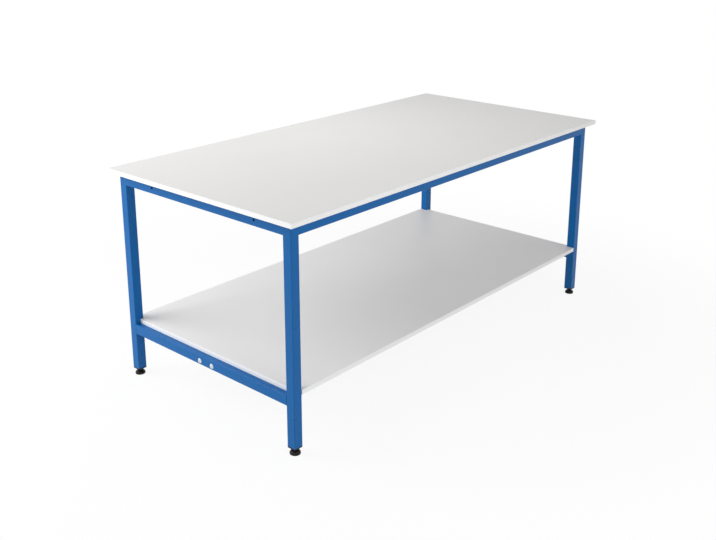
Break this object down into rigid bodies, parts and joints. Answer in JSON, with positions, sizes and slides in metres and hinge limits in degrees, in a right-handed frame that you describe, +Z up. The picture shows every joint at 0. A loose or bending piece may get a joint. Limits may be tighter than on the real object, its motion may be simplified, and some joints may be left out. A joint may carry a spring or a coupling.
{
  "type": "assembly table",
  "caption": "Workshop assembly table: welded tube frame, flat laminate worktop, full-length lower shelf between the legs, and screw-adjusted levelling feet.",
  "frame": {"origin": "on the floor under the middle of the table, with the feet at their middle setting", "axes": "+X along the table to its right end, -Y towards the front, +Z up"},
  "size_m": [2, 1, 0.868],
  "materials": {
    "frame_paint": "blue powder coat, satin, over welded steel tube",
    "zinc_hardware": "bright zinc-plated steel",
    "board": "light grey melamine-faced chipboard, matt",
    "edging": "light grey plastic edging, matt",
    "black_steel": "blackened steel, satin",
    "black_plastic": "black moulded nylon, satin"
  },
  "bodies": {
    "table": {"leg_front_left": "frame_paint", "leg_front_right": "frame_paint", "leg_back_left": "frame_paint", "leg_back_right": "frame_paint", "top_rail_front": "frame_paint", "top_rail_back": "frame_paint", "top_end_rail_left": "frame_paint", "top_end_rail_right": "frame_paint", "lower_end_rail_left": "frame_paint", "lower_end_rail_right": "frame_paint", "shelf_stretcher": "frame_paint", "stretcher_end_plate_left": "frame_paint", "stretcher_end_plate_right": "frame_paint", "stretcher_bolts": "zinc_hardware", "stretcher_washers": "zinc_hardware", "stretcher_nuts": "zinc_hardware", "worktop_screws": "zinc_hardware", "shelf_screws": "zinc_hardware", "insert_nuts": "zinc_hardware", "worktop_board": "board", "shelf_board": "board", "worktop_edging_front": "edging", "worktop_edging_back": "edging", "worktop_edging_left": "edging", "worktop_edging_right": "edging", "shelf_edging_front": "edging", "shelf_edging_back": "edging", "shelf_edging_left": "edging", "shelf_edging_right": "edging", "leg_insert_front_left": "black_plastic", "leg_insert_front_right": "black_plastic", "leg_insert_back_left": "black_plastic", "leg_insert_back_right": "black_plastic"},
    "pad_front_left": {"foot_pad_front_left": "black_plastic"},
    "stud_front_left": {"foot_stud_front_left": "black_steel"},
    "pad_front_right": {"foot_pad_front_right": "black_plastic"},
    "stud_front_right": {"foot_stud_front_right": "black_steel"},
    "pad_back_left": {"foot_pad_back_left": "black_plastic"},
    "stud_back_left": {"foot_stud_back_left": "black_steel"},
    "pad_back_right": {"foot_pad_back_right": "black_plastic"},
    "stud_back_right": {"foot_stud_back_right": "black_steel"}
  },
  "joints": [
    {"name": "foot_travel_front_left", "type": "slide", "parent": "table", "child": "pad_front_left", "axis": [0, 0, -1], "range_m": [-0.005, 0.015]},
    {"name": "foot_turn_front_left", "type": "hinge", "parent": "pad_front_left", "child": "stud_front_left", "pos_m": [-0.951, -0.447, 0], "axis": [0, 0, -1], "range_deg": [-1201, 3601]},
    {"name": "foot_travel_front_right", "type": "slide", "parent": "table", "child": "pad_front_right", "axis": [0, 0, -1], "range_m": [-0.005, 0.015]},
    {"name": "foot_turn_front_right", "type": "hinge", "parent": "pad_front_right", "child": "stud_front_right", "pos_m": [0.951, -0.447, 0], "axis": [0, 0, -1], "range_deg": [-1201, 3601]},
    {"name": "foot_travel_back_left", "type": "slide", "parent": "table", "child": "pad_back_left", "axis": [0, 0, -1], "range_m": [-0.005, 0.015]},
    {"name": "foot_turn_back_left", "type": "hinge", "parent": "pad_back_left", "child": "stud_back_left", "pos_m": [-0.951, 0.447, 0], "axis": [0, 0, -1], "range_deg": [-1201, 3601]},
    {"name": "foot_travel_back_right", "type": "slide", "parent": "table", "child": "pad_back_right", "axis": [0, 0, -1], "range_m": [-0.005, 0.015]},
    {"name": "foot_turn_back_right", "type": "hinge", "parent": "pad_back_right", "child": "stud_back_right", "pos_m": [0.951, 0.447, 0], "axis": [0, 0, -1], "range_deg": [-1201, 3601]}
  ],
  "couplings": [
    {"joint": "foot_turn_front_left", "follows": "foot_travel_front_left", "rad_per_m": 4188.8},
    {"joint": "foot_turn_front_right", "follows": "foot_travel_front_right", "rad_per_m": 4188.8},
    {"joint": "foot_turn_back_left", "follows": "foot_travel_back_left", "rad_per_m": 4188.8},
    {"joint": "foot_turn_back_right", "follows": "foot_travel_back_right", "rad_per_m": 4188.8}
  ]
}
